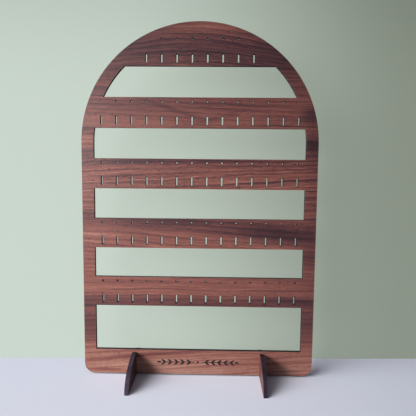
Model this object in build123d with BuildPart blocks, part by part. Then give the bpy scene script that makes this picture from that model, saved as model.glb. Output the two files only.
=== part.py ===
"""Arch-topped earring stand: a flat panel with rows of ear-post holes and ear-hook slots, held upright by
two half-oval feet. Panel and feet are cut from one three-layer sheet, a core with a walnut veneer on each
face, and each foot crosses the panel in a halved joint.

Frame: X across the panel, +Y to the back, +Z up. The origin is on the table, midway between the feet and halfway
along them. The panel stands a little behind it.
"""

import math
import os

from build123d import *

# The sheet that every piece is cut from, in millimetres like every length here
CORE_THICKNESS = 3.0
VENEER_THICKNESS = 0.5
SHEET = CORE_THICKNESS + 2 * VENEER_THICKNESS

# The panel: its outline and the rails and windows that stack up from its bottom edge
PANEL_WIDTH = 235.0
STILE_WIDTH = 12.0
CORNER_RADIUS = 10.0
BOTTOM_RAIL = 25.5
BOTTOM_WINDOW = 46.7
RAIL = 30.0
WINDOW = 30.0
CROWN = 42.3
TIER_COUNT = 5

# Rows of slots for ear hooks and holes for ear posts, one of each on every rail above the bottom one
PITCH = 15.0
EDGE_MARGIN = 17.0
SLOT_LENGTH = 8.5
SLOT_WIDTH = 1.5
SLOT_INSET = 3.2
HOLE_DIAMETER = 1.5
HOLE_INSET = 4.1

# The feet and the halved joints that hold them
FOOT_LENGTH = 82.0
FOOT_HEIGHT = 24.3
FOOT_SPACING = 131.5
PANEL_SETBACK = 4.0
NOTCH_DEPTH = 11.25
FIT_CLEARANCE = 0.1
GROUND_GAP = 1.5

# The engraved sprig on the bottom rail: two mirrored stems with pairs of pointed leaves
ENGRAVING_DEPTH = 0.25
STEM_START = 4.0
STEM_WIDTH = 0.7
LEAF_LENGTH = 5.5
LEAF_WIDTH = 1.7
LEAF_PITCH = 6.5
LEAF_PAIRS = 5
LEAF_ANGLE = 32.0
TIP_GAP = 0.8
BUD_DIAMETER = 2.2

# Places that follow from the sizes above
PANEL_HEIGHT = BOTTOM_RAIL + BOTTOM_WINDOW + (TIER_COUNT - 1) * (RAIL + WINDOW) + CROWN
PANEL_PLANE = Plane.XZ.offset(-PANEL_SETBACK)
ARCH_RADIUS = PANEL_WIDTH / 2
ARCH_CENTRE = GROUND_GAP + PANEL_HEIGHT - ARCH_RADIUS
JOINT_HEIGHT = GROUND_GAP + NOTCH_DEPTH
JOINT_WIDTH = SHEET + 2 * FIT_CLEARANCE
FIRST_RAIL = GROUND_GAP + BOTTOM_RAIL + BOTTOM_WINDOW
RAIL_BASES = [FIRST_RAIL + tier * (RAIL + WINDOW) for tier in range(TIER_COUNT)]


def half_chord(height):
    """Half the panel's width at a height above the table."""
    rise = max(0.0, height - ARCH_CENTRE)
    return math.sqrt(ARCH_RADIUS**2 - rise**2)


def row_places(height):
    """Evenly pitched places along one row, as many as keep the margin to the panel's edge on both sides."""
    count = 2 * math.floor((half_chord(height) - EDGE_MARGIN) / PITCH + 1 / 2)
    return [((place - (count - 1) / 2) * PITCH, height) for place in range(count)]


def arch(width, foot, radius):
    """A sketch of an upright arch: straight sides from the foot height up to a half round of that radius."""
    with BuildSketch() as outline:
        with Locations((0, foot)):
            Rectangle(width, ARCH_CENTRE - foot, align=(Align.CENTER, Align.MIN))
        with Locations((0, ARCH_CENTRE)):
            Circle(radius)
    return outline.sketch


def window_opening(base, height):
    """A sketch of one window: the band between two rails, bounded by the inner line of the stiles."""
    with BuildSketch() as opening:
        add(arch(PANEL_WIDTH - 2 * STILE_WIDTH, GROUND_GAP, ARCH_RADIUS - STILE_WIDTH))
        with Locations((0, base)):
            Rectangle(PANEL_WIDTH, height, align=(Align.CENTER, Align.MIN), mode=Mode.INTERSECT)
    return opening.sketch


# Panel outline, drawn once for all three layers, with X across and Y up
slot_places = []
hole_places = []
for rail_base in RAIL_BASES:
    slot_places += row_places(rail_base + SLOT_INSET + SLOT_LENGTH / 2)
    hole_places += row_places(rail_base + RAIL - HOLE_INSET)

with BuildSketch() as panel_outline:
    add(arch(PANEL_WIDTH, GROUND_GAP, ARCH_RADIUS))
    fillet(panel_outline.vertices().group_by(Axis.Y)[0], radius=CORNER_RADIUS)
    add(window_opening(GROUND_GAP + BOTTOM_RAIL, BOTTOM_WINDOW), mode=Mode.SUBTRACT)
    for rail_base in RAIL_BASES[:-1]:
        add(window_opening(rail_base + RAIL, WINDOW), mode=Mode.SUBTRACT)
    with Locations(*slot_places):
        SlotOverall(SLOT_LENGTH, SLOT_WIDTH, rotation=90, mode=Mode.SUBTRACT)
    with Locations(*hole_places):
        Circle(HOLE_DIAMETER / 2, mode=Mode.SUBTRACT)
    with Locations((-FOOT_SPACING / 2, GROUND_GAP), (FOOT_SPACING / 2, GROUND_GAP)):
        Rectangle(JOINT_WIDTH, 2 * NOTCH_DEPTH, mode=Mode.SUBTRACT)

# Foot outline, drawn once for both feet, with X from front to back and Y up
with BuildSketch() as foot_outline:
    Ellipse(FOOT_LENGTH / 2, FOOT_HEIGHT)
    Rectangle(FOOT_LENGTH, FOOT_HEIGHT, align=(Align.CENTER, Align.MAX), mode=Mode.SUBTRACT)
    with Locations((PANEL_SETBACK, JOINT_HEIGHT)):
        Rectangle(JOINT_WIDTH, FOOT_HEIGHT, align=(Align.CENTER, Align.MIN), mode=Mode.SUBTRACT)

# Engraved sprig, centred on the bottom rail
with BuildSketch() as leaf:
    with BuildLine():
        SagittaArc((0, 0), (LEAF_LENGTH, 0), LEAF_WIDTH / 2)
        SagittaArc((LEAF_LENGTH, 0), (0, 0), LEAF_WIDTH / 2)
    make_face()

STEM_LENGTH = LEAF_PAIRS * LEAF_PITCH
leaf_roots = [STEM_START + (pair + 1 / 2) * LEAF_PITCH for pair in range(LEAF_PAIRS)]
with BuildSketch() as sprig:
    with Locations((STEM_START, 0)):
        Rectangle(STEM_LENGTH, STEM_WIDTH, align=(Align.MIN, Align.CENTER))
    with Locations(*[Location((root, 0), turn) for root in leaf_roots for turn in (-LEAF_ANGLE, LEAF_ANGLE)]):
        add(leaf.sketch)
    with Locations((STEM_START + STEM_LENGTH + TIP_GAP, 0)):
        add(leaf.sketch)
    mirror(about=Plane.YZ)
    Circle(BUD_DIAMETER / 2)

# Panel core: the middle layer, which the veneers are glued to
with BuildPart() as panel_core:
    with BuildSketch(PANEL_PLANE.offset(-CORE_THICKNESS / 2)):
        add(panel_outline.sketch)
    extrude(amount=CORE_THICKNESS)

# Front veneer, with the sprig engraved part of the way through it
with BuildPart() as panel_front_veneer:
    with BuildSketch(PANEL_PLANE.offset(CORE_THICKNESS / 2)):
        add(panel_outline.sketch)
    extrude(amount=VENEER_THICKNESS)
    with BuildSketch(PANEL_PLANE.offset(SHEET / 2)):
        with Locations((0, GROUND_GAP + BOTTOM_RAIL / 2)):
            add(sprig.sketch)
    extrude(amount=-ENGRAVING_DEPTH, mode=Mode.SUBTRACT)

# Back veneer
with BuildPart() as panel_back_veneer:
    with BuildSketch(PANEL_PLANE.offset(-SHEET / 2)):
        add(panel_outline.sketch)
    extrude(amount=VENEER_THICKNESS)

pieces = {
    "panel_core": panel_core.part,
    "panel_front_veneer": panel_front_veneer.part,
    "panel_back_veneer": panel_back_veneer.part,
}

# Feet: each has a core and two veneers, and its inner veneer faces the other foot
for side, centre, inward in (("left", -FOOT_SPACING / 2, 1), ("right", FOOT_SPACING / 2, -1)):
    layers = {
        "core": (centre - CORE_THICKNESS / 2, CORE_THICKNESS),
        "inner_veneer": (centre + inward * SHEET / 2, -inward * VENEER_THICKNESS),
        "outer_veneer": (centre - inward * SHEET / 2, inward * VENEER_THICKNESS),
    }
    for layer, (start, thickness) in layers.items():
        with BuildPart() as foot_layer:
            with BuildSketch(Plane.YZ.offset(start)):
                add(foot_outline.sketch)
            extrude(amount=thickness)
        pieces[f"{side}_foot_{layer}"] = foot_layer.part

os.makedirs("parts", exist_ok=True)
for name, piece in pieces.items():
    piece.label = name
    export_step(piece, f"parts/{name}.step")
    print(name, "solids", len(piece.solids()), "volume", round(piece.volume, 1))
print("slots", len(slot_places), "holes", len(hole_places), "panel height", round(PANEL_HEIGHT, 2))
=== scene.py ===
"""Looks of the arch-topped earring stand: walnut veneer with charred cuts, on a pale table.

Every length is in metres unless a name says otherwise. The wood's figure is written in millimetres, because
it is read off the sheet the way a maker would mark it out: along the grain from the middle, and up from the
table.
"""

import logging
import math
from dataclasses import dataclass, field
from enum import Enum
from typing import Any, Union

import bmesh
import bpy
from mathutils import Matrix, Vector


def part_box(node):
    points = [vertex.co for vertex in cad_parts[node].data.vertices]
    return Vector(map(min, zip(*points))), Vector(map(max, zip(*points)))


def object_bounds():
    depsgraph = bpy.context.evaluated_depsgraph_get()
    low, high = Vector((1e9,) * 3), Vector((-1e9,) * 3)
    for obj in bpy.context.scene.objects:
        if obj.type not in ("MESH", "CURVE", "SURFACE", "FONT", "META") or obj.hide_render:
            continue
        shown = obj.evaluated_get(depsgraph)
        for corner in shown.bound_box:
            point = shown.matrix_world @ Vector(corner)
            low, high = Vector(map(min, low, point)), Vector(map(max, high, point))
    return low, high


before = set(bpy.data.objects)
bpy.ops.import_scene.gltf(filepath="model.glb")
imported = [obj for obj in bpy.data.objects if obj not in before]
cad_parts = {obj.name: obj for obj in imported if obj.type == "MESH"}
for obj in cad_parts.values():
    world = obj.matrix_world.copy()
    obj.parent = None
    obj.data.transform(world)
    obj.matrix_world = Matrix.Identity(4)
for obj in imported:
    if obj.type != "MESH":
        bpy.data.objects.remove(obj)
CAD_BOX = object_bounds()

LOG = logging.getLogger("earring_stand")
MM_PER_M = 1000.0
NOISE_MEAN = 0.5
PLAIN_TONE = 0.62
PLAIN_STRENGTH = 0.7
Colour = tuple[float, float, float, float]
Spot = tuple[float, float, float]
Term = Union["Wire", float]


class Wire:
    """One shader socket that takes part in Python expressions on values."""

    def __init__(self, graph: "Graph", socket: bpy.types.NodeSocket) -> None:
        """Keeps the graph that the socket belongs to, and the socket."""
        self.graph = graph
        self.socket = socket

    def maths(self, operation: str, *terms: Term) -> "Wire":
        """A Math node with this wire first.

        Args:
            operation: The Math node's operation.
            terms: The wires or numbers of its other sockets.

        Returns:
            The node's result.
        """
        return self.graph.add("ShaderNodeMath", {"operation": operation}, dict(enumerate((self, *terms))))

    def _reflected(self, operation: str, first: float) -> "Wire":
        """A Math node with a number first and this wire second."""
        return self.graph.add("ShaderNodeMath", {"operation": operation}, {0: first, 1: self})

    def __add__(self, other: Term) -> "Wire":
        """This plus the other."""
        return self.maths("ADD", other)

    __radd__ = __add__

    def __sub__(self, other: Term) -> "Wire":
        """This less the other."""
        return self.maths("SUBTRACT", other)

    def __rsub__(self, other: float) -> "Wire":
        """The number less this."""
        return self._reflected("SUBTRACT", other)

    def __mul__(self, other: Term) -> "Wire":
        """This times the other."""
        return self.maths("MULTIPLY", other)

    __rmul__ = __mul__

    def __truediv__(self, other: Term) -> "Wire":
        """This divided by the other."""
        return self.maths("DIVIDE", other)

    def __rtruediv__(self, other: float) -> "Wire":
        """The number divided by this."""
        return self._reflected("DIVIDE", other)

    def __pow__(self, other: Term) -> "Wire":
        """This to the other's power."""
        return self.maths("POWER", other)

    def __neg__(self) -> "Wire":
        """This with its sign turned."""
        return self.maths("MULTIPLY", -1.0)

    def __abs__(self) -> "Wire":
        """This without its sign."""
        return self.maths("ABSOLUTE")

    def __gt__(self, other: Term) -> "Wire":
        """1 where this is over the other, and 0 elsewhere."""
        return self.maths("GREATER_THAN", other)

    def __or__(self, other: "Wire") -> "Wire":
        """The larger of two masks."""
        return self.maths("MAXIMUM", other)

    def hump(self) -> "Wire":
        """A bell that is 1 where this is 0 and fades to nothing past 2."""
        return (-(self * self)).maths("EXPONENT")

    def step(self, low: float, high: float) -> "Wire":
        """A soft step.

        Args:
            low: The value where it is still 0.
            high: The value where it has reached 1.

        Returns:
            The step, from 0 to 1.
        """
        limits = {"Value": self, "From Min": low, "From Max": high}
        return self.graph.add("ShaderNodeMapRange", {"interpolation_type": "SMOOTHSTEP"}, limits)


class Graph:
    """The nodes of one material or of the world."""

    COLOUR_MIX_SOCKETS = (0, 6, 7)
    COLOUR_MIX_RESULT = 2

    def __init__(self, tree: bpy.types.NodeTree) -> None:
        """Keeps the tree that nodes are added to."""
        self.tree = tree

    @classmethod
    def of_material(cls, name: str) -> tuple[bpy.types.Material, "Graph"]:
        """A new material of that name, and the graph of its nodes."""
        material = bpy.data.materials.new(name)
        material.use_nodes = True
        return material, cls(material.node_tree)

    def add(self, kind: str, settings: dict[str, Any] | None = None,
            inputs: dict[str | int, Any] | None = None, output: str | int = 0) -> Wire:
        """Adds one node.

        Args:
            kind: The node's type.
            settings: Its properties, set first, where "stops" are a ramp's (place, colour) pairs.
            inputs: The numbers, colours or wires of its sockets, by name or by number.
            output: The socket to go on from.

        Returns:
            That socket's wire.
        """
        node = self.tree.nodes.new(kind)
        for name, value in (settings or {}).items():
            if name == "stops":
                self._set_stops(node.color_ramp, value)
            else:
                setattr(node, name, value)
        self.fill(node, inputs or {})
        return Wire(self, node.outputs[output])

    def fill(self, node: bpy.types.Node, inputs: dict[str | int, Any]) -> None:
        """Gives a node's sockets their numbers, colours or wires.

        Args:
            node: The node.
            inputs: What each socket gets, by the socket's name or number.
        """
        for key, value in inputs.items():
            if isinstance(value, Wire):
                self.tree.links.new(value.socket, node.inputs[key])
            else:
                node.inputs[key].default_value = value

    def find(self, kind: str) -> bpy.types.Node:
        """The tree's own node of a type, such as its output."""
        return next(node for node in self.tree.nodes if node.bl_idname == kind)

    def blend(self, factor: Term, first: Wire | Colour, second: Wire | Colour) -> Wire:
        """Mixes two colours.

        Args:
            factor: 0 for the first colour and 1 for the second.
            first: The first colour.
            second: The second colour.

        Returns:
            The mixed colour.
        """
        inputs = dict(zip(self.COLOUR_MIX_SOCKETS, (factor, first, second)))
        return self.add("ShaderNodeMix", {"data_type": "RGBA"}, inputs, output=self.COLOUR_MIX_RESULT)

    def ramp(self, factor: Wire, stops: tuple[tuple[float, Colour], ...]) -> Wire:
        """The colour that a ramp of (place, colour) stops has at a factor."""
        return self.add("ShaderNodeValToRGB", {"stops": stops}, {"Fac": factor})

    @staticmethod
    def _set_stops(ramp: bpy.types.ColorRamp, stops: tuple[tuple[float, Colour], ...]) -> None:
        """Replaces a ramp's stops, which start as two."""
        while len(ramp.elements) < len(stops):
            ramp.elements.new(1.0)
        for element, (place, colour) in zip(ramp.elements, stops):
            element.position = place
            element.color = colour


class Lay(Enum):
    """How a sheet lies: the axes along its grain, across its grain and through its thickness."""

    PANEL = ("X", "Z", "Y")
    FOOT = ("Y", "Z", "X")


@dataclass
class Place:
    """Where a point is on a sheet, in millimetres, and how far its face turns away from the sheet's own face.

    Attributes:
        graph: The graph that the wires belong to.
        along: The distance along the grain from the middle.
        across: The distance across the grain, up from the table.
        through: The distance through the thickness.
        flat: 1 on the sheet's faces and 0 on its cut edges.
    """

    graph: Graph
    along: Wire
    across: Wire
    through: Wire
    flat: Wire

    FACE_LIMIT = 0.5

    @classmethod
    def on(cls, graph: Graph, lay: Lay) -> "Place":
        """Reads the place from the piece's own frame.

        Args:
            graph: The material's graph.
            lay: How the sheet lies.

        Returns:
            The place.
        """
        point = graph.add("ShaderNodeTexCoord", output="Object")
        normal = graph.add("ShaderNodeTexCoord", output="Normal")
        steps = [graph.add("ShaderNodeSeparateXYZ", {}, {0: point}, output=axis) for axis in lay.value]
        facing = abs(graph.add("ShaderNodeSeparateXYZ", {}, {0: normal}, output=lay.value[-1]))
        return cls(graph, *(step * MM_PER_M for step in steps), facing > cls.FACE_LIMIT)

    def noise(self, run: float, rise: float, seed: float, height: Wire | None = None,
              detail: float = 2.0) -> Wire:
        """Noise drawn out along the grain.

        Args:
            run: The length of its patches along the grain, in millimetres.
            rise: Their width across the grain, in millimetres.
            seed: Picks one piece of noise from another.
            height: Takes the place of the distance across the grain, where lines wander.
            detail: How many finer layers it has.

        Returns:
            The noise, from 0 to 1 about a half.
        """
        parts = {"X": self.along / run, "Y": (height or self.across) / rise, "Z": seed}
        spot = self.graph.add("ShaderNodeCombineXYZ", {}, parts)
        return self.graph.add("ShaderNodeTexNoise", {}, {"Vector": spot, "Scale": 1.0, "Detail": detail})


def grey(value: float) -> Colour:
    """A grey of that value."""
    return (value, value, value, 1.0)


@dataclass(frozen=True)
class Profile:
    """A value that changes with the height on a sheet.

    Attributes:
        pairs: (height in millimetres, value) pairs from low to high.
        most: The largest value that it may have, of either sign.
    """

    pairs: tuple[tuple[float, float], ...]
    most: float = 1.0

    SHEET_HEIGHT = 360.0

    @classmethod
    def even(cls, value: float) -> "Profile":
        """A profile that has one value at every height."""
        return cls(((0.0, value), (cls.SHEET_HEIGHT, value)))

    def read(self, place: Place) -> Wire:
        """The value at a place."""
        stops = tuple((height / self.SHEET_HEIGHT, grey(0.5 + value / self.most / 2))
                      for height, value in self.pairs)
        shade = place.graph.ramp(place.across / self.SHEET_HEIGHT, stops)
        level = place.graph.add("ShaderNodeRGBToBW", {}, {0: shade})
        return (level - 0.5) * (2 * self.most)


@dataclass(frozen=True)
class Streak:
    """A darker or paler band that runs along the grain, in millimetres: most are bands in the wood, and a few
    on the panel's front are painted light and painted shade along its sides.

    Attributes:
        height: Where it crosses the middle of the sheet.
        reach: Half its width.
        depth: How much darker it is, or paler where negative.
        middle: Where along the grain it is strongest.
        span: How far along the grain it lasts.
        climb: How much it rises for each millimetre along the grain.
    """

    height: float
    reach: float
    depth: float
    middle: float = 0.0
    span: float = 600.0
    climb: float = 0.0

    def mask(self, place: Place, wander: Wire) -> Wire:
        """How strong the streak is at a place.

        Args:
            place: The place on the sheet.
            wander: How far the grain strays there, in millimetres.

        Returns:
            The mask, from 0 to 1.
        """
        offset = (place.across + wander - self.height - place.along * self.climb) / self.reach
        fade = (place.along - self.middle) / self.span
        return offset.hump() * fade.hump()


@dataclass(frozen=True)
class CutRow:
    """Rows of like cuts through a sheet, in millimetres, one above another, each row even about the middle.

    Attributes:
        first: The height of the lowest row's middle.
        radius: The radius of a hole, or of a slot's ends.
        straight: Half the straight length of a slot, or 0 for a hole.
        limits: How far out from the middle the row goes.
        rise: The distance from row to row.
        pitch: The distance from cut to cut.
    """

    first: float
    radius: float
    straight: float
    limits: Profile
    rise: float = 60.0
    pitch: float = 15.0

    def rim(self, place: Place, width: float) -> Wire:
        """How near a cut is.

        Args:
            place: The place on the sheet.
            width: How far from the cut the mask ends, in millimetres.

        Returns:
            The mask, 1 at a cut and 0 away from it.
        """
        sideways = ((place.along / self.pitch).maths("FRACT") - 0.5) * self.pitch
        above = (((place.across - self.first) / self.rise + 0.5).maths("FRACT") - 0.5) * self.rise
        beyond = (abs(above) - self.straight).maths("MAXIMUM", 0.0)
        gap = (sideways * sideways + beyond * beyond).maths("SQRT") - self.radius
        inside = self.limits.read(place) > abs(place.along)
        return (1 - gap.step(0.0, width)) * inside


@dataclass(frozen=True)
class CharredCut:
    """A laser-cut edge: near black, faintly ribbed through the thickness, with browner patches. The feet's
    copies are paler and lavender with painted sheen on the left, and darker with painted shade on the right.
    """

    soot: Colour = (0.003, 0.0025, 0.003, 1.0)
    scorch: Colour = (0.010, 0.007, 0.008, 1.0)
    rib_pitch: float = 0.5
    patch_size: float = 14.0
    rough: float = 0.82
    rough_swing: float = 0.2

    SHEEN = 0.1
    RIB_SEED = 3.7
    PATCH_SEED = 8.1
    RIB_SHARE = 0.5
    BROWN_FROM = 0.45
    BROWN_FULL = 1.05

    def tint(self, place: Place) -> tuple[Wire, Wire]:
        """The colour and roughness of the cut.

        Args:
            place: The place on the sheet.

        Returns:
            The colour and the roughness.
        """
        ribs = place.noise(self.rib_pitch, self.rib_pitch, self.RIB_SEED)
        patches = place.noise(self.patch_size, self.patch_size, self.PATCH_SEED)
        brown = (ribs * self.RIB_SHARE + patches).step(self.BROWN_FROM, self.BROWN_FULL)
        rough = self.rough + (ribs - NOISE_MEAN) * self.rough_swing
        return place.graph.blend(brown, self.soot, self.scorch), rough

    def material(self, name: str, lay: Lay) -> bpy.types.Material:
        """A material that is charred all over, for the core that shows only at cuts.

        Args:
            name: The material's name.
            lay: How the sheet lies.

        Returns:
            The material.
        """
        material, graph = Graph.of_material(name)
        colour, rough = self.tint(Place.on(graph, lay))
        graph.fill(graph.find("ShaderNodeBsdfPrincipled"),
                   {"Base Color": colour, "Roughness": rough, "Specular IOR Level": self.SHEEN})
        return material


class Layer(Enum):
    """One layer of the wood's figure, as noise.

    Its values are the length and width of its patches in millimetres, what it adds to the leaf's seed, and
    how many finer layers it has.
    """

    DRIFT = (190.0, 60.0, 0.0, 2.0)
    RIPPLE = (42.0, 14.0, 5.0, 2.0)
    FIBRE = (13.0, 0.8, 17.0, 4.0)
    PORES = (4.2, 0.55, 21.0, 1.0)
    PORE_STRIPS = (60.0, 5.0, 25.0, 2.0)
    CLOUD = (150.0, 15.0, 29.0, 2.0)
    THREAD = (60.0, 1.7, 33.0, 3.0)


@dataclass(frozen=True)
class GrowthLines:
    """A set of growth lines: each darkens slowly and ends sharply, and fades in and out along its length.

    Attributes:
        pitch: The mean distance between lines, in millimetres.
        depth: How much darker a line is than the wood.
        seed_step: What it adds to the leaf's seed.
    """

    pitch: float
    depth: float
    seed_step: float

    UNEVEN_RUN = 900.0
    UNEVEN_PITCHES = 3.4
    UNEVEN_SWING = 3.0
    SHARPNESS = 3.0
    END_FROM = 0.88
    FADE_RUN = 110.0
    FADE_PITCHES = 1.6
    FADE_SEED_STEP = 4.0
    FADE_FROM = 0.25
    FADE_FULL = 0.62

    def shade(self, place: Place, height: Wire, leaf_seed: float) -> Wire:
        """How much the lines darken a place.

        Args:
            place: The place on the sheet.
            height: The height in the wood.
            leaf_seed: The seed of the leaf that they are in.

        Returns:
            The shade, from 0 to the lines' depth.
        """
        seed = leaf_seed + self.seed_step
        strays = place.noise(self.UNEVEN_RUN, self.UNEVEN_PITCHES * self.pitch, seed, height) - NOISE_MEAN
        phase = (height / self.pitch + strays * self.UNEVEN_SWING).maths("FRACT")
        sharp = phase ** self.SHARPNESS * (1 - phase.step(self.END_FROM, 1.0))
        fade = place.noise(self.FADE_RUN, self.FADE_PITCHES * self.pitch, seed + self.FADE_SEED_STEP, height)
        return sharp * fade.step(self.FADE_FROM, self.FADE_FULL) * self.depth


@dataclass(frozen=True)
class WalnutVeneer:
    """Oiled walnut veneer: growth lines along the grain, heartwood streaks, fine fibre, and open pores.

    Attributes:
        lay: How the sheet lies.
        seed: Picks one leaf of veneer from another.
        streaks: The leaf's own bands, which on the panel's front also hold painted light and painted shade
            along its sides.
        tones: How pale the wood is between its lines, from 0 to 1; on the panel's front and the left foot's
            inner leaf it also holds painted light and painted shade.
        strengths: How clear the lines, fibre and pores are, from 0 to 1.
        tilts: How the growth lines slope.
        bows: How they arch over the middle, as a drop per square millimetre.
        char: The finish of its cuts and engraving.
        cuts: The rows of small cuts, whose rims are singed.
    """

    lay: Lay
    seed: float
    streaks: tuple[Streak, ...] = ()
    tones: Profile = Profile.even(PLAIN_TONE)
    strengths: Profile = Profile.even(PLAIN_STRENGTH)
    tilts: Profile = Profile.even(0.0)
    bows: Profile = Profile.even(0.0)
    char: CharredCut = CharredCut()
    cuts: tuple[CutRow, ...] = ()

    RIM_WIDTH = 0.75
    RIM_DEPTH = 0.6
    DRIFT = 7.0
    RIPPLE = 3.0
    LINES = (GrowthLines(5.4, 0.62, 9.0), GrowthLines(2.7, 0.30, 13.0))
    CLOUD_DEPTH = 0.34
    THREAD_DEPTH = 0.80
    FIBRE_DEPTH = 0.75
    PORE_DEPTH = 0.60
    PORE_LIMITS = (0.56, 0.68)
    PORE_STRIP_LIMITS = (0.30, 0.70)
    STREAK_FLOOR = 0.5
    ENGRAVED = 0.1
    SATIN_ROUGH = 0.48
    FIBRE_ROUGH = 0.12
    PORE_ROUGH = 0.2
    FIBRE_RELIEF = 0.4
    GRAIN_RELIEF = 0.00006
    GRAIN_BUMP = 0.6
    SHEEN = 0.3
    PALETTE = (
        (0.00, (0.026, 0.010, 0.012, 1.0)),
        (0.25, (0.062, 0.0215, 0.0235, 1.0)),
        (0.50, (0.129, 0.043, 0.0360, 1.0)),
        (0.75, (0.211, 0.075, 0.0555, 1.0)),
        (1.00, (0.345, 0.185, 0.1370, 1.0)),
    )

    def _layer(self, place: Place, layer: Layer, height: Wire | None = None) -> Wire:
        """One layer of the figure.

        Args:
            place: The place on the sheet.
            layer: The layer.
            height: The height in the wood, where the layer follows the grain.

        Returns:
            The layer's noise, from 0 to 1 about a half.
        """
        run, rise, seed_step, detail = layer.value
        return place.noise(run, rise, self.seed + seed_step, height, detail)

    def _wander(self, place: Place) -> Wire:
        """How far the grain strays up or down from a straight run."""
        drift = (self._layer(place, Layer.DRIFT) - NOISE_MEAN) * self.DRIFT
        return drift + (self._layer(place, Layer.RIPPLE) - NOISE_MEAN) * self.RIPPLE

    def _height(self, place: Place, wander: Wire) -> Wire:
        """The height in the wood, which is level along each growth line."""
        slope = place.along * self.tilts.read(place)
        arch = place.along * place.along * self.bows.read(place)
        return place.across - slope + arch + wander

    def _pores(self, place: Place, height: Wire) -> Wire:
        """Short open pores along the grain, thick in some strips and rare in others."""
        dashes = self._layer(place, Layer.PORES, height).step(*self.PORE_LIMITS)
        return dashes * self._layer(place, Layer.PORE_STRIPS, height).step(*self.PORE_STRIP_LIMITS)

    def _tone(self, place: Place, wander: Wire, height: Wire, fibre: Wire, pores: Wire) -> Wire:
        """How pale the wood is, with the painted light and painted shade that its tones and streaks hold.

        Args:
            place: The place on the sheet.
            wander: How far the grain strays there.
            height: The height in the wood.
            fibre: The fine fibre.
            pores: The open pores.

        Returns:
            The tone, from 0 to 1.
        """
        cloud = (self._layer(place, Layer.CLOUD, height) - NOISE_MEAN) * self.CLOUD_DEPTH
        thread = self._layer(place, Layer.THREAD, height)
        figure = (thread - NOISE_MEAN) * self.THREAD_DEPTH + (fibre - NOISE_MEAN) * self.FIBRE_DEPTH
        figure = figure - pores * self.PORE_DEPTH
        for lines in self.LINES:
            figure = figure - lines.shade(place, height, self.seed)
        tone = self.tones.read(place) + cloud + figure * self.strengths.read(place)
        grainy = self.STREAK_FLOOR + thread
        for streak in self.streaks:
            tone = tone - streak.mask(place, wander) * grainy * streak.depth
        for cut in self.cuts:
            tone = tone - cut.rim(place, self.RIM_WIDTH) * self.RIM_DEPTH
        return tone

    def material(self, name: str, face: float) -> bpy.types.Material:
        """Makes the veneer's material.

        Args:
            name: The material's name.
            face: Where the veneer's show face lies through the thickness, in metres.

        Returns:
            The material.
        """
        material, graph = Graph.of_material(name)
        place = Place.on(graph, self.lay)
        wander = self._wander(place)
        height = self._height(place, wander)
        pores = self._pores(place, height)
        fibre = self._layer(place, Layer.FIBRE, height)
        wood = graph.ramp(self._tone(place, wander, height, fibre, pores), self.PALETTE)
        burnt = (1 - place.flat) | (abs(place.through - face * MM_PER_M) > self.ENGRAVED)
        soot, soot_rough = self.char.tint(place)
        satin = self.SATIN_ROUGH + (fibre - NOISE_MEAN) * self.FIBRE_ROUGH + pores * self.PORE_ROUGH
        relief = (fibre * self.FIBRE_RELIEF - pores) * (1 - burnt)
        bump = graph.add("ShaderNodeBump", {}, {
            "Strength": self.GRAIN_BUMP,
            "Distance": self.GRAIN_RELIEF,
            "Height": relief,
        })
        graph.fill(graph.find("ShaderNodeBsdfPrincipled"), {
            "Base Color": graph.blend(burnt, wood, soot),
            "Roughness": satin + (soot_rough - satin) * burnt,
            "Normal": bump,
            "Specular IOR Level": self.SHEEN,
        })
        return material


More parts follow.
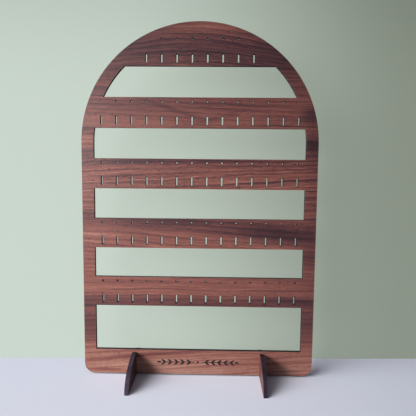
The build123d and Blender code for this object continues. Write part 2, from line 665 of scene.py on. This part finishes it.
@dataclass
class Panel:
    """The upright arch: a charred core between a front and a back veneer."""

    core: str = "panel_core"
    front: str = "panel_front_veneer"
    back: str = "panel_back_veneer"
    # The wood's own streaks, with four marked ones that are painted light and painted shade at the panel's
    # sides.
    front_streaks_and_painted_light: tuple[Streak, ...] = (
        Streak(330.0, 7.0, 0.11, middle=0.0, span=90.0),
        Streak(322.0, 14.0, 0.22, middle=88.0, span=38.0),
        Streak(351.0, 4.0, -0.22, middle=8.0, span=35.0),
        Streak(324.0, 3.0, 0.08, middle=-78.0, span=26.0, climb=0.15),
        Streak(291.0, 3.0, 0.20, middle=-98.0, span=20.0),
        Streak(265.0, 2.2, 0.20, middle=-25.0, span=30.0, climb=-0.27),
        Streak(261.0, 2.2, 0.16, middle=16.0, span=26.0, climb=0.27),
        Streak(268.0, 7.0, 0.30, middle=109.0, span=10.0),
        Streak(251.0, 2.4, 0.26, middle=-113.0, span=16.0),
        # Painted light: paler wood on the left stile, where the light falls from the left.
        Streak(240.0, 8.0, -0.12, middle=-113.0, span=20.0),
        Streak(228.0, 3.0, 0.26, middle=-113.0, span=20.0),
        Streak(238.0, 11.0, 0.46, middle=113.0, span=20.0),
        Streak(222.0, 4.0, 0.30, middle=-30.0, span=100.0),
        # Painted light: paler wood at the left end of a rail, where the light falls from the left.
        Streak(205.0, 9.0, -0.07, middle=-104.0, span=28.0),
        Streak(167.0, 5.0, 0.16, middle=-112.0, span=22.0),
        Streak(160.0, 6.0, 0.30, middle=-20.0, span=70.0),
        Streak(158.0, 10.0, 0.40, middle=88.0, span=46.0, climb=-0.12),
        # Painted light: paler wood at the left end of a rail, where the light falls from the left.
        Streak(147.0, 11.0, -0.14, middle=-104.0, span=30.0),
        Streak(126.0, 9.0, 0.24, middle=113.0, span=24.0),
        # Painted shade: a darker band down the right stile, away from the light.
        Streak(200.0, 120.0, 0.14, middle=115.0, span=9.0),
        Streak(79.0, 5.0, 0.24),
        Streak(91.0, 3.0, 0.20, middle=92.0, span=24.0, climb=-0.1),
        Streak(54.0, 15.0, 0.20, middle=-113.0, span=24.0),
        Streak(56.0, 15.0, 0.14, middle=113.0, span=24.0),
        Streak(26.0, 1.8, 0.30, middle=-65.0, span=60.0, climb=0.1),
        Streak(1.0, 1.8, 0.26, middle=-96.0, span=20.0, climb=-0.05),
    )
    # Paler toward the bottom rail and darker toward the crown: partly the wood's own tone, partly painted
    # light low down and painted shade at the top.
    front_tones_with_painted_light: Profile = Profile((
        (2.0, 0.91), (24.0, 0.87), (38.0, 0.62), (74.0, 0.58), (90.0, 0.72), (120.0, 0.66), (138.0, 0.70),
        (152.0, 0.60), (180.0, 0.72), (198.0, 0.72), (215.0, 0.66), (236.0, 0.70), (262.0, 0.60),
        (282.0, 0.54), (305.0, 0.46), (325.0, 0.40), (340.0, 0.41), (354.0, 0.45)))
    front_strengths: Profile = Profile((
        (2.0, 0.45), (28.0, 0.50), (60.0, 0.60), (88.0, 0.60), (120.0, 0.60), (150.0, 0.62), (170.0, 0.80),
        (205.0, 1.0), (240.0, 0.80), (266.0, 0.55), (295.0, 0.65), (332.0, 0.95), (345.0, 0.60),
        (354.0, 0.50)))
    front_tilts: Profile = Profile((
        (0.0, 0.08), (30.0, 0.06), (90.0, 0.0), (150.0, -0.06), (190.0, 0.04), (205.0, 0.05), (265.0, -0.02),
        (335.0, -0.03)), most=0.12)
    front_bows: Profile = Profile(((0.0, 0.0), (300.0, 0.0), (345.0, 0.0022)), most=0.004)
    back_streaks: tuple[Streak, ...] = (
        Streak(330.0, 10.0, 0.16, middle=-30.0, span=90.0),
        Streak(262.0, 5.0, 0.22),
        Streak(212.0, 9.0, -0.14, middle=40.0, span=120.0),
        Streak(150.0, 7.0, 0.26, middle=-40.0, span=120.0),
        Streak(92.0, 4.0, 0.20, middle=30.0, span=110.0),
        Streak(14.0, 9.0, -0.12),
    )
    back_tilts: Profile = Profile(((0.0, 0.03), (360.0, -0.03)), most=0.12)
    post_holes: CutRow = CutRow(first=99.6, radius=0.75, straight=0.0, limits=Profile(
        ((90.0, 105.0), (250.0, 105.0), (260.0, 90.0), (300.0, 90.0), (320.0, 45.0)), most=120.0))
    hook_slots: CutRow = CutRow(first=81.15, radius=0.75, straight=3.5, limits=Profile(
        ((30.0, 0.0), (60.0, 105.0), (280.0, 105.0), (300.0, 60.0)), most=120.0))
    front_seed: float = 2.0
    back_seed: float = 61.0

    def dress(self) -> None:
        """Gives each layer its finish."""
        show_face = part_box(self.front)[0].y
        rear_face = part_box(self.back)[1].y
        cuts = (self.post_holes, self.hook_slots)
        front = WalnutVeneer(Lay.PANEL, self.front_seed, self.front_streaks_and_painted_light, self.front_tones_with_painted_light,
                             self.front_strengths, self.front_tilts, self.front_bows, cuts=cuts)
        back = WalnutVeneer(Lay.PANEL, self.back_seed, self.back_streaks, tilts=self.back_tilts, cuts=cuts)
        finish(self.front, front.material("walnut_panel_front", show_face))
        finish(self.back, back.material("walnut_panel_back", rear_face))
        finish(self.core, CharredCut().material("charred_panel_core", Lay.PANEL))


class Side(Enum):
    """The side of the panel that a foot is on."""

    LEFT = "left"
    RIGHT = "right"


@dataclass
class Foot:
    """One half-oval foot: a charred core between an inner and an outer veneer.

    Attributes:
        side: Which foot it is.
        seed: Picks its leaves of veneer.
        inner_tone_and_shade: How pale its inner veneer is, from 0 to 1, darkened as painted shade where its
            face turns from the light.
        char: The finish of its cut edges, whose colour holds painted sheen on the left foot and painted shade
            on the right.
        outer_tone: How pale its outer veneer is, from 0 to 1.
    """

    side: Side
    seed: float
    inner_tone_and_shade: float
    char: CharredCut
    outer_tone: float = PLAIN_TONE

    SEED_STEP = 40.0

    def dress(self) -> None:
        """Gives each layer its finish."""
        core = f"{self.side.value}_foot_core"
        middle = sum(corner.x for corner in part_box(core)) / 2
        leaves = (
            ("inner", self.inner_tone_and_shade, self.seed),
            ("outer", self.outer_tone, self.seed + self.SEED_STEP),
        )
        for layer, tone, seed in leaves:
            node = f"{self.side.value}_foot_{layer}_veneer"
            low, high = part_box(node)
            face = max(low.x, high.x, key=lambda edge: abs(edge - middle))
            veneer = WalnutVeneer(Lay.FOOT, seed, tones=Profile.even(tone), char=self.char)
            finish(node, veneer.material(f"walnut_{node}", face))
        finish(core, self.char.material(f"charred_{core}", Lay.FOOT))


def finish(node: str, material: bpy.types.Material) -> None:
    """Gives a CAD node its material.

    Args:
        node: The node's name.
        material: The material that takes the place of its plain one.
    """
    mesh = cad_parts[node].data
    mesh.materials.clear()
    mesh.materials.append(material)
    LOG.info("%s has the finish %s", node, material.name)


@dataclass(frozen=True)
class Lamp:
    """A square soft light that falls on chosen pieces alone.

    Attributes:
        name: The light's name.
        aim: The point that it faces.
        toward: The direction from that point to the light.
        distance: How far away it stands.
        size: Its side.
        spread: How wide its beam is, in degrees.
        watts: Its power.
    """

    name: str
    aim: Spot
    toward: Spot
    distance: float
    size: float
    spread: float
    watts: float

    def hang(self, lit: list[bpy.types.Object]) -> None:
        """Makes the light.

        Args:
            lit: The pieces that it falls on.
        """
        data = bpy.data.lights.new(self.name, "AREA")
        data.size = self.size
        data.spread = math.radians(self.spread)
        data.energy = self.watts
        lamp = bpy.data.objects.new(self.name, data)
        outward = Vector(self.toward).normalized()
        lamp.location = Vector(self.aim) + outward * self.distance
        lamp.rotation_euler = outward.to_track_quat("Z", "Y").to_euler()
        bpy.context.scene.collection.objects.link(lamp)
        receivers = bpy.data.collections.new(f"lit_by_{self.name}")
        for piece in lit:
            receivers.objects.link(piece)
        lamp.light_linking.receiver_collection = receivers


@dataclass
class Studio:
    """The pale table, the pale card behind it, the soft lights and the world around them."""

    table_size: float = 6.0
    table_fade: tuple[float, float] = (0.26, 0.60)
    table_far: Colour = (0.66, 0.69, 0.73, 1.0)
    card_width: float = 6.0
    card_height: float = 3.0
    card_gap: float = 0.003
    card_turn: float = 2.0
    table_tint: Colour = (0.685, 0.705, 0.80, 1.0)
    card_tint: Colour = (0.10, 0.112, 0.10, 1.0)
    card_glow_left: Colour = (0.455, 0.525, 0.46, 1.0)
    card_glow_right: Colour = (0.165, 0.19, 0.146, 1.0)
    card_fade: tuple[float, float] = (-0.10, 0.24)
    card_dusk: tuple[float, float] = (0.28, 0.56)
    card_dusk_depth: float = 0.4
    card_dusk_tint: Colour = grey(0.0)
    matt_rough: float = 0.85
    matt_sheen: float = 0.2
    sky_tint: Colour = (0.86, 0.88, 1.00, 1.0)
    sky_strength: float = 0.16
    far_tint: Colour = (0.70, 0.73, 0.75, 1.0)
    key: Lamp = Lamp("key_light", aim=(-0.05, 0.0, 0.12), toward=(-0.85, -1.0, 0.32),
                     distance=0.9, size=0.30, spread=110.0, watts=4.9)
    wash: Lamp = Lamp("stage_light", aim=(-0.06, 0.0, 0.0), toward=(-1.4, -1.0, 0.8),
                      distance=0.72, size=0.9, spread=75.0, watts=4.9)
    back: Lamp = Lamp("back_light", aim=(0.0, 0.0, 0.17), toward=(-0.35, 1.0, 0.3),
                      distance=1.3, size=0.9, spread=180.0, watts=16.0)

    def build(self) -> None:
        """Makes the table, the card, the lights and the world."""
        half = self.table_size / 2
        table = self._sheet("table", [(-half, -half, 0), (half, -half, 0), (half, half, 0), (-half, half, 0)])
        table.data.materials.append(self._pale_far_off(self._matt("pale_table", self.table_tint)))
        side = self.card_width / 2
        rear = CAD_BOX[1].y + self.card_gap
        slant = side * math.tan(math.radians(self.card_turn))
        top = self.card_height
        card = self._sheet("card", [(-side, rear - slant, 0), (side, rear + slant, 0),
                                    (side, rear + slant, top), (-side, rear - slant, top)])
        card.data.materials.append(self._one_sided(self._glowing(self._matt("pale_card", self.card_tint))))
        card.visible_shadow = card.visible_diffuse = card.visible_glossy = False
        stand = list(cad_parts.values())
        self.key.hang(stand)
        self.wash.hang([table, card])
        self.back.hang(stand)
        self._sky()

    def _sheet(self, name: str, corners: list[Spot]) -> bpy.types.Object:
        """A flat four-sided sheet that belongs to the stage.

        Args:
            name: The sheet's name.
            corners: Its corners, anticlockwise as seen from its front.

        Returns:
            The sheet.
        """
        mesh = bpy.data.meshes.new(name)
        sheet = bmesh.new()
        sheet.faces.new([sheet.verts.new(corner) for corner in corners])
        sheet.to_mesh(mesh)
        sheet.free()
        piece = bpy.data.objects.new(name, mesh)
        bpy.context.scene.collection.objects.link(piece)
        return piece

    def _matt(self, name: str, tint: Colour) -> bpy.types.Material:
        """A plain matt finish of one tint."""
        material, graph = Graph.of_material(name)
        graph.fill(graph.find("ShaderNodeBsdfPrincipled"),
                   {"Base Color": tint, "Roughness": self.matt_rough, "Specular IOR Level": self.matt_sheen})
        return material

    def _pale_far_off(self, material: bpy.types.Material) -> bpy.types.Material:
        """Keeps the table pale where the lights no longer reach it, for the camera alone.

        Args:
            material: The material to change.

        Returns:
            The same material.
        """
        graph = Graph(material.node_tree)
        point = graph.add("ShaderNodeTexCoord", output="Object")
        away = graph.add("ShaderNodeVectorMath", {"operation": "LENGTH"}, {0: point}, output="Value")
        seen = graph.add("ShaderNodeLightPath", output="Is Camera Ray")
        near = Wire(graph, graph.find("ShaderNodeBsdfPrincipled").outputs[0])
        far = graph.add("ShaderNodeEmission", {}, {"Color": self.table_far, "Strength": 1.0})
        mixed = graph.add("ShaderNodeMixShader", {}, {0: away.step(*self.table_fade) * seen, 1: near, 2: far})
        graph.fill(graph.find("ShaderNodeOutputMaterial"), {"Surface": mixed})
        return material

    def _glowing(self, material: bpy.types.Material) -> bpy.types.Material:
        """Adds the card's even glow, paler to the left and below: painted light on the backdrop in place of
        the lamps' fall-off, which keeps shade behind the windows faint.

        Args:
            material: The material to change.

        Returns:
            The same material.
        """
        graph = Graph(material.node_tree)
        point = graph.add("ShaderNodeTexCoord", output="Object")
        side = graph.add("ShaderNodeSeparateXYZ", {}, {0: point}, output="X").step(*self.card_fade)
        high = graph.add("ShaderNodeSeparateXYZ", {}, {0: point}, output="Z").step(*self.card_dusk)
        glow = graph.blend(side, self.card_glow_left, self.card_glow_right)
        glow = graph.blend(high * self.card_dusk_depth, glow, self.card_dusk_tint)
        graph.fill(graph.find("ShaderNodeBsdfPrincipled"), {"Emission Color": glow, "Emission Strength": 1.0})
        return material

    def _one_sided(self, material: bpy.types.Material) -> bpy.types.Material:
        """Makes a material clear from behind, so that the card never hides the stand.

        Args:
            material: The material to change.

        Returns:
            The same material.
        """
        graph = Graph(material.node_tree)
        behind = graph.add("ShaderNodeNewGeometry", output="Backfacing")
        front = Wire(graph, graph.find("ShaderNodeBsdfPrincipled").outputs[0])
        clear = graph.add("ShaderNodeBsdfTransparent")
        mixed = graph.add("ShaderNodeMixShader", {}, {0: behind, 1: front, 2: clear})
        graph.fill(graph.find("ShaderNodeOutputMaterial"), {"Surface": mixed})
        return material

    def _sky(self) -> None:
        """Soft light from all around, with a plain pale tint where the camera sees it."""
        world = bpy.data.worlds.new("studio")
        world.use_nodes = True
        bpy.context.scene.world = world
        graph = Graph(world.node_tree)
        seen = graph.add("ShaderNodeLightPath", output="Is Camera Ray")
        graph.fill(graph.find("ShaderNodeBackground"), {
            "Color": graph.blend(seen, self.sky_tint, self.far_tint),
            "Strength": self.sky_strength + seen * (1 - self.sky_strength),
        })


@dataclass
class Camera:
    """The camera: where it stands, how it is turned in degrees, and its lens."""

    eye: Vector = field(default_factory=lambda: Vector((0.0178, -0.4370, 0.2153)))
    turn_right: float = -1.14
    tilt_down: float = 5.25
    roll: float = -0.53
    sensor: float = 36.0
    image_side_px: float = 416.0
    focal_px: float = 440.0

    def build(self) -> None:
        """Makes the camera and hands it to the scene."""
        yaw, pitch, roll = (math.radians(angle) for angle in (self.turn_right, self.tilt_down, self.roll))
        ahead = Vector((math.sin(yaw) * math.cos(pitch), math.cos(yaw) * math.cos(pitch), -math.sin(pitch)))
        level = Vector((math.cos(yaw), -math.sin(yaw), 0.0))
        down = ahead.cross(level)
        right = math.cos(roll) * level + math.sin(roll) * down
        upward = math.sin(roll) * level - math.cos(roll) * down
        data = bpy.data.cameras.new("camera")
        data.sensor_width = self.sensor
        data.lens = self.focal_px / self.image_side_px * self.sensor
        camera = bpy.data.objects.new("camera", data)
        turned = Matrix((right, upward, -ahead)).transposed().to_4x4()
        camera.matrix_world = Matrix.Translation(self.eye) @ turned
        bpy.context.scene.collection.objects.link(camera)
        bpy.context.scene.camera = camera


def main() -> None:
    """Dresses the stand, then sets the stage, the lights and the camera."""
    logging.basicConfig(level=logging.INFO, format="%(name)s: %(message)s")
    Panel().dress()
    # One char in two copies: paler and lavender as painted sheen for the left foot, darker as painted shade
    # for the right.
    sheened_cut = CharredCut(soot=(0.010, 0.007, 0.010, 1.0), scorch=(0.058, 0.040, 0.064, 1.0))
    shaded_cut = CharredCut(soot=(0.006, 0.004, 0.006, 1.0), scorch=(0.033, 0.021, 0.036, 1.0))
    # The left foot's inner veneer is darkened to 0.35 as painted shade, for its face turned away from the
    # light.
    Foot(Side.LEFT, seed=110.0, inner_tone_and_shade=0.35, char=sheened_cut).dress()
    Foot(Side.RIGHT, seed=210.0, inner_tone_and_shade=PLAIN_TONE, char=shaded_cut).dress()
    Studio().build()
    Camera().build()
    bpy.context.scene.view_settings.view_transform = "Standard"


if __name__ == "__main__":
    main()
